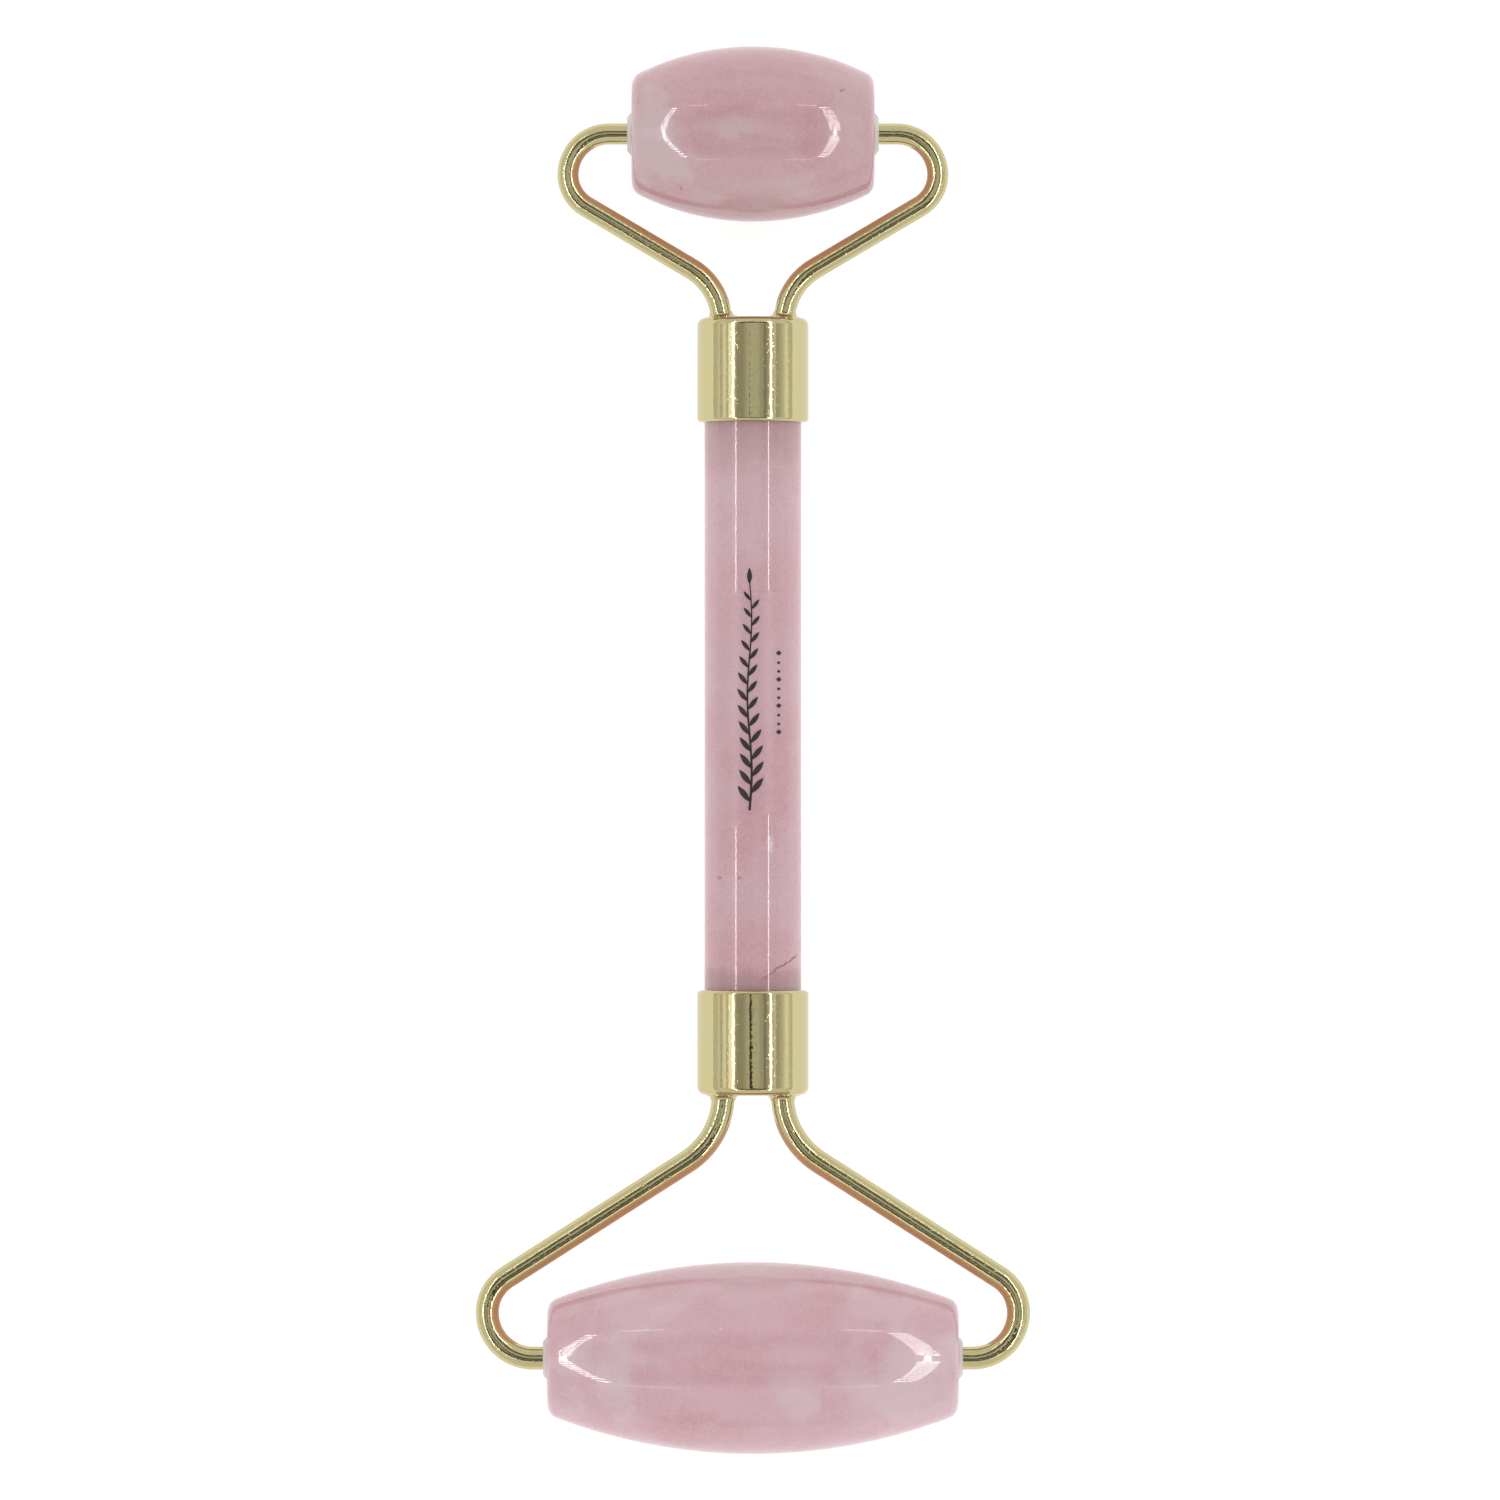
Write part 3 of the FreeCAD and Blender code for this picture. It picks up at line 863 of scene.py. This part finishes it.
def pale_gold(name, offset, roughness, pits, with_stone_reflection=False):
    """Pale gold plating: near mirror, a faint orange peel, fine pits and warmer patches, and where asked for,
    a painted reflection of the pink stones.
    """
    m = new_material(name)
    place = millimetres(m, offset)
    patches = noise(m, place, 0.25, 3.0)
    colour = blend_colour(m, between(m, patches, 0.4, 0.8), GOLD, GOLD_WARM)
    wear = noise(m, place, 1.3, 4.0, 0.65)
    shine = between(m, wear, 0.3, 0.75, roughness, roughness + WORN_DULLING)
    metal = 1.0
    # painted reflection of the stones: coppery colour, less metal and more roughness on the sides facing the
    # rollers
    if with_stone_reflection:
        thin = painted_stone_reflection(m)
        colour = blend_colour(m, thin, colour, STONE_REFLECTION_TINT)
        metal = minus(m, 1.0, times(m, thin, STONE_REFLECTION_METAL_LOSS))
        shine = plus(m, shine, times(m, thin, STONE_REFLECTION_DULLING))
    peel = bump(m, noise(m, place, 0.7, 1.0), 0.3, PEEL_HEIGHT)
    grain = bump(m, noise(m, place, 2.2, 0.5), 1.0, pits, peel)
    pocks = between(m, noise(m, place, 3.4, 1.0), 0.64, 0.72)
    skin = bump(m, pocks, 1.0, -POCK_DEPTH * pits, grain)
    surface(m, {"Base Color": colour, "Metallic": metal, "Roughness": shine, "Normal": skin})
    return m


def printing_ink():
    """Matt brown-black ink, a little thin in places."""
    m = new_material("printing_ink")
    place = millimetres(m)
    cover = noise(m, place, 2.2, 3.0, 0.6)
    thin = between(m, cover, 0.35, 0.75, 0.0, 0.35)
    colour = blend_colour(m, thin, (0.016, 0.009, 0.010), (0.055, 0.034, 0.036))
    surface(m, {"Base Color": colour, "Roughness": 0.5, "Normal": bump(m, cover, 0.2, 0.004)})
    return m


def white_nylon():
    m = new_material("white_nylon")
    place = millimetres(m)
    tone = noise(m, place, 0.9, 3.0)
    colour = blend_colour(m, tone, (0.72, 0.65, 0.63), (0.64, 0.57, 0.55))
    texture = bump(m, noise(m, place, 6.0, 3.0, 0.6), 0.3, 0.006)
    surface(m, {"Base Color": colour, "Roughness": 0.42, "Subsurface Weight": 0.25,
                "Subsurface Radius": (1.0, 0.9, 0.8), "Subsurface Scale": 0.8 * MM, "Normal": texture})
    return m


def clear_epoxy():
    m = new_material("clear_epoxy")
    place = millimetres(m)
    bubbles = noise(m, place, 3.0, 3.0, 0.6)
    colour = blend_colour(m, bubbles, (0.72, 0.62, 0.42), (0.60, 0.49, 0.30))
    surface(m, {"Base Color": colour, "Roughness": 0.25, "Transmission Weight": 0.4, "IOR": 1.5,
                "Normal": bump(m, bubbles, 0.3, 0.02)})
    return m


# ---- assembly ----------------------------------------------------------------------

SMALL_Y = axles["small_roller"].y / MM
LARGE_Y = axles["large_roller"].y / MM
# A patch is a tone, its strength, its centre and its reach; a flaw is a tone, its centre and its reach.
HANDLE_PATCHES = [
    (ROSE_DEEP, 0.55, (1.0, -3.0, 14.5), (5.0, 9.0, 5.0)),
    (ROSE_PALE, 0.45, (-1.0, 25.0, 14.5), (6.0, 9.0, 5.0)),
    (ROSE_PALE, 0.35, (0.0, -14.0, 14.5), (6.0, 6.0, 5.0)),
]
HANDLE_FLAWS = [
    (ROSE_BROWN, (-3.5, -13.1, 13.0), (0.35, 0.30, 0.9)),
    (ROSE_BROWN, (-1.4, -13.1, 14.3), (0.22, 0.22, 0.9)),
    (ROSE_WISP, (1.8, -9.7, 14.2), (0.45, 1.1, 0.9)),
]
STONE_LOOKS = {                # offset, turn and tint of the quartz, then its patches and flaws
    "small": (
        (5, 60, 9), (0.5, 0.3, 0.2), (0.87, 0.845, 0.82),
        [
            (ROSE_PALE, 0.95, (-12.0, SMALL_Y - 1.0, 17.0), (6.5, 7.5, 8.0)),
            (ROSE_DEEP, 1.0, (-3.6, SMALL_Y + 3.0, 18.0), (5.5, 2.0, 5.0)),
            (ROSE_DEEP, 0.75, (6.0, SMALL_Y + 1.5, 18.0), (3.0, 7.0, 5.0)),
            (ROSE_PALE, 0.55, (-1.4, SMALL_Y + 0.4, 19.0), (6.5, 1.7, 5.0)),
            (ROSE_PALE, 0.50, (5.8, SMALL_Y - 6.0, 17.0), (2.6, 2.0, 5.0)),
            (ROSE_DEEP, 0.60, (0.0, SMALL_Y + 7.0, 14.0), (9.0, 2.5, 6.0)),
            (ROSE_PALE, 0.35, (10.5, SMALL_Y - 1.0, 16.0), (3.0, 5.0, 6.0)),
            (ROSE_PALE, 0.30, (-1.0, SMALL_Y - 6.5, 15.0), (7.0, 2.5, 6.0)),
        ],
        [
            (FLAW_DARK, (9.2, SMALL_Y + 4.2, 15.5), (0.35, 0.22, 1.2)),
            (FLAW_DARK, (-7.4, SMALL_Y - 5.8, 15.0), (0.20, 0.30, 1.2)),
            (ROSE_WISP, (1.3, SMALL_Y - 1.7, 19.0), (0.6, 0.6, 1.2)),
        ],
    ),
    "large": (
        (51, 8, 27), (0.5, 0.3, 0.2), (0.970, 0.950, 0.955),
        [
            (ROSE_PALE, 0.90, (16.0, LARGE_Y - 3.0, 17.0), (9.0, 9.0, 8.0)),
            (ROSE_PALE, 0.95, (-15.5, LARGE_Y - 2.0, 17.0), (6.5, 7.5, 7.0)),
            (ROSE_DEEP, 1.0, (-6.5, LARGE_Y - 7.0, 15.0), (6.0, 3.4, 7.0)),
            (ROSE_DEEP, 0.55, (-2.5, LARGE_Y - 0.5, 19.0), (5.5, 3.4, 6.0)),
            (ROSE_PALE, 0.40, (0.0, LARGE_Y + 7.0, 16.0), (12.0, 2.6, 6.0)),
            (ROSE_PALE, 0.55, (-13.0, LARGE_Y + 5.0, 16.0), (8.0, 4.0, 6.0)),
            (ROSE_PALE, 0.60, (13.0, LARGE_Y + 5.0, 16.0), (7.0, 4.0, 6.0)),
            (ROSE_DEEP, 0.45, (5.0, LARGE_Y + 4.5, 18.0), (5.0, 2.5, 5.0)),
            (ROSE_DEEP, 0.50, (-1.0, LARGE_Y - 7.0, 15.0), (12.0, 2.8, 6.0)),
            (ROSE_PALE, 0.70, (4.5, LARGE_Y - 3.5, 18.5), (3.0, 3.6, 6.0)),
            (ROSE_PALE, 0.45, (-9.0, LARGE_Y + 2.6, 18.0), (3.6, 1.6, 6.0)),
        ],
        [
            (FLAW_DARK, (17.2, LARGE_Y - 7.9, 13.0), (0.30, 0.22, 1.2)),
            (ROSE_WISP, (-3.3, LARGE_Y + 3.3, 19.0), (0.35, 0.20, 1.2)),
        ],
    ),
}

gold_cup = pale_gold("pale_gold_ferrule", (0, 0, 0), roughness=0.02, pits=0.0045)
gold_wire = pale_gold("pale_gold_wire", (31, 7, 3), roughness=0.025, pits=0.010, with_stone_reflection=True)
nylon = white_nylon()
epoxy = clear_epoxy()

handle = make_handle()
sprig = make_print(handle)
finish_piece(handle, "handle_frame", "rose_quartz", handle_quartz(HANDLE_PATCHES, HANDLE_FLAWS),
             "handle_stone")
sprig.data.materials.clear()
sprig.data.materials.append(printing_ink())
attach(sprig, "handle_frame")

for end_name, end in ENDS.items():
    finish_piece(make_ferrule(end_name, end), "handle_frame", "plated_ferrule", gold_cup,
                 end_name + "_ferrule")
    stone_look = roller_quartz(f"rose_quartz_{end_name}", *STONE_LOOKS[end_name])
    finish_piece(make_stone(end_name, end), end_name + "_roller", "rose_quartz", stone_look,
                 end_name + "_roller_stone")
    for side_name in SIDES:
        finish_piece(make_arm(end_name, side_name, end), "handle_frame", "plated_wire", gold_wire,
                     f"{end_name}_{side_name}_arm")
        finish_piece(make_braze(end_name, side_name, end), "handle_frame", "plated_braze", gold_cup,
                     f"{end_name}_{side_name}_braze")
        finish_piece(make_bush(end_name, side_name, end), end_name + "_roller", "white_nylon", nylon,
                     f"{end_name}_{side_name}_bush")
    glue = frame["nodes"][end_name + "_ferrule_adhesive"]
    glue.data.materials.clear()
    glue.data.materials.append(epoxy)


# ---- stage, light and camera --------------------------------------------------------

FLOOR_SIZE = 4.0               # in metres
FLOOR_GLOW = 0.76
TENT_LEFT = [                  # brightness of the tent's cloth against degrees from overhead
    (0, 0.70), (11, 0.68), (16, 0.54), (22, 0.44), (34, 0.46), (37, 0.80), (44, 1.30), (50, 1.60),
    (53, 0.80), (56, 0.75), (59, 1.20), (64, 1.10), (69, 0.62), (75, 1.05), (80, 0.80), (90, 0.90), (97, 1.0),
]
TENT_RIGHT = [
    (0, 0.70), (11, 0.68), (16, 0.54), (21, 0.54), (24, 0.30), (27, 0.40), (33, 0.62), (36, 1.0), (42, 0.65),
    (46, 1.0), (50, 0.55), (56, 0.60), (66, 0.85), (74, 1.25), (80, 1.0), (86, 0.80), (97, 1.0),
]
TENT_ENDS = [                  # the cloth beyond the two ends of the handle
    (0, 0.80), (9, 0.76), (14, 0.34), (19, 0.30), (22, 0.08), (26, 0.08), (31, 0.52), (38, 0.98),
    (43, 1.04), (50, 0.86), (61, 0.90), (74, 1.05), (79, 0.82), (88, 0.78), (94, 1.0),
]
ENDS_FROM = 7.0                # degrees along the handle where the ends take over
ENDS_FULL = 13.0
SIDES_MEET = 1.0               # degrees each way in which the two sides blend overhead
SLOT_SHIFT = 5.0               # the dark gap overhead, in degrees; it leans and tapers
SLOT_LEAN = 1.1                # with every degree along the handle
SLOT_HALF_WIDTH = 2.0
SLOT_TAPER = 0.9
SLOT_EDGE = (0.7, -0.3)
SLOT_ENDS = (14.0, 10.0)       # degrees along between which it fades in
SLOT_DEPTH = 0.9
LAMP_DISTANCE = 4.0            # in metres
LAMP_FROM = -39.0              # degrees along the handle that the two lamps reach
LAMP_TO = 43.0
BOW_BELOW = 10.0               # below this they curve in
BAR_ROWS = 24
BAR_SHARE = 0.5                # lit part of each row
MIDDLE_ROWS = 1.2              # pitches each way that count as the middle
MIDDLE_WIDTH = 1.6             # degrees across of the unbroken middle rows
HALO_LOW = 37.0                # bright cloth round the lamps, counted from HALO_CENTRE
HALO_HIGH = 42.5
HALO_CENTRE = -2.0
HALO_LEVEL = 0.8
HALO_EDGE = (1.0, 0.5)         # it fades over these, outside and inside its limits
HALO_ENDS = (20.0, 9.0)        # degrees along between which it fades in
CORNER_LAMPS = [               # across, along, width, length and radiance at each side
    (29, 41, 9, 1.6, 4),
    (24, -38, 12, 2.2, 2),
]


def make_floor():
    """A wide pale sheet of matt board under the roller, lit a little from below."""
    deselect()
    bpy.ops.mesh.primitive_plane_add(size=FLOOR_SIZE, location=(0, 0, 0))
    floor = bpy.context.object
    floor.name = "pale_floor"
    m = new_material("pale_board")
    place = millimetres(m)
    tone = noise(m, place, 0.02, 2.0)
    colour = blend_colour(m, tone, (0.40, 0.40, 0.40), (0.38, 0.38, 0.38))
    surface(m, {"Base Color": colour, "Roughness": 0.8, "Emission Color": (1, 1, 1, 1),
                "Emission Strength": FLOOR_GLOW,
                "Normal": bump(m, noise(m, place, 0.8, 3.0), 0.1, 0.05)})
    floor.data.materials.append(m)


def cloth_level(world, away, stops_at):
    """Brightness of the tent's cloth at this many degrees from overhead."""
    ramp = node(world, "ValToRGB", {"Fac": math_node(world, "DIVIDE", away, 180.0)})
    stops = ramp.color_ramp.elements
    stops[0].color = (stops_at[0][1],) * 3 + (1,)
    stops[1].color = (stops_at[-1][1],) * 3 + (1,)
    stops[1].position = stops_at[-1][0] / 180
    for degrees, level in stops_at[1:-1]:
        stops.new(degrees / 180).color = (level, level, level, 1)
    return ramp.outputs["Color"]


def make_world(bright):
    """A white tent, dimmer overhead, with a narrow dark gap straight above the handle."""
    world = bpy.data.worlds.new("studio")
    bpy.context.scene.world = world
    world.use_nodes = True
    world.node_tree.nodes.clear()
    place = node(world, "TexCoord").outputs["Generated"]
    split = node(world, "SeparateXYZ", {"Vector": place}).outputs
    to_degrees = math.degrees(1.0)
    across = times(world, math_node(world, "ARCTAN2", split["X"], split["Z"]), to_degrees)
    along = times(world, math_node(world, "ARCTAN2", split["Y"], split["Z"]), to_degrees)
    far_across = size_of(world, across)
    far_along = size_of(world, along)
    away = math_node(world, "MAXIMUM", far_across, far_along)
    sides = blend_colour(world, between(world, across, -SIDES_MEET, SIDES_MEET),
                         cloth_level(world, away, TENT_LEFT), cloth_level(world, away, TENT_RIGHT))
    cloth = blend_colour(world, between(world, far_along, ENDS_FROM, ENDS_FULL), sides,
                         cloth_level(world, away, TENT_ENDS))
    from_centre = size_of(world, minus(world, across, HALO_CENTRE))
    outside, inside = HALO_EDGE
    halo = times(world, between(world, from_centre, HALO_LOW - outside, HALO_LOW + inside),
                 between(world, from_centre, HALO_HIGH + outside, HALO_HIGH - inside))
    halo = times(world, halo, between(world, far_along, *HALO_ENDS, 0.0, HALO_LEVEL))
    leaning = plus(world, across, plus(world, times(world, along, SLOT_LEAN), SLOT_SHIFT))
    slot_width = minus(world, SLOT_HALF_WIDTH, times(world, along, SLOT_TAPER))
    slot = between(world, minus(world, size_of(world, leaning), slot_width), *SLOT_EDGE)
    slot = times(world, slot, between(world, far_along, *SLOT_ENDS))
    level = times(world, plus(world, cloth, halo), minus(world, 1.0, times(world, slot, SLOT_DEPTH)))
    back = node(world, "Background", {"Color": (1, 1, 1, 1),
                                      "Strength": times(world, level, bright)})
    node(world, "OutputWorld", {"Surface": back.outputs["Background"]})


def make_lamp(name, across, along, width, length, radiance):
    """A flat lamp facing the roller; its place and size are angles across and along the handle."""
    direction = Vector((math.tan(math.radians(across)), math.tan(math.radians(along)), 1)).normalized()
    height = direction.z * LAMP_DISTANCE
    size_x = 2 * LAMP_DISTANCE * math.tan(math.radians(width / 2))
    size_y = 2 * height * math.tan(math.radians(length / 2))
    deselect()
    bpy.ops.object.light_add(type="AREA", location=(0, 0, 0))
    lamp = bpy.context.object
    side = Vector((0, 1, 0)).cross(direction).normalized()
    lamp.matrix_world = Matrix.Translation(direction * LAMP_DISTANCE) @ Matrix(
        (side, direction.cross(side), direction)).transposed().to_4x4()
    lamp.name = name
    lamp.data.shape = "RECTANGLE"
    lamp.data.size = size_x
    lamp.data.size_y = size_y
    lamp.data.energy = radiance * math.pi * size_x * size_y
    lamp.visible_camera = False


def make_lamp_rows(name, across, width, bow, radiance):
    """A tall lamp of short bars, curving in towards its lower end."""
    pitch = (LAMP_TO - LAMP_FROM) / BAR_ROWS
    for row in range(BAR_ROWS):
        along = LAMP_FROM + (row + 0.5) * pitch
        below = max(BOW_BELOW - along, 0.0) / (BOW_BELOW - LAMP_FROM)
        centre = across - math.copysign(bow * below ** 2, across)
        if abs(along) < MIDDLE_ROWS * pitch:
            make_lamp(name, centre, along, MIDDLE_WIDTH, pitch, radiance)
        else:
            make_lamp(name, centre, along, width, pitch * BAR_SHARE, radiance)


make_floor()
make_world(bright=0.97)
make_lamp_rows("lamp_left", -41.0, width=2.9, bow=5.5, radiance=15)
make_lamp_rows("lamp_right", 37.6, width=5.0, bow=0.8, radiance=13)
for side in SIDES.values():
    for across, along, width, length, radiance in CORNER_LAMPS:
        make_lamp("lamp_corner", side * across, along, width, length, radiance)

CAMERA_DISTANCE = 1.5          # in metres, like the next two
CAMERA_ACROSS = -0.0003
VIEW_WIDTH = 0.1545            # what the frame takes in at the height of the axles
SENSOR = 36.0                  # in millimetres
camera_height = CAMERA_DISTANCE + axles["small_roller"].z
bpy.ops.object.camera_add(location=(CAMERA_ACROSS, 0, camera_height), rotation=(0, 0, 0))
camera = bpy.context.object
camera.data.sensor_width = SENSOR
camera.data.lens = SENSOR * CAMERA_DISTANCE / VIEW_WIDTH
camera.data.clip_start = 0.01
bpy.context.scene.camera = camera
bpy.context.scene.view_settings.view_transform = "Standard"
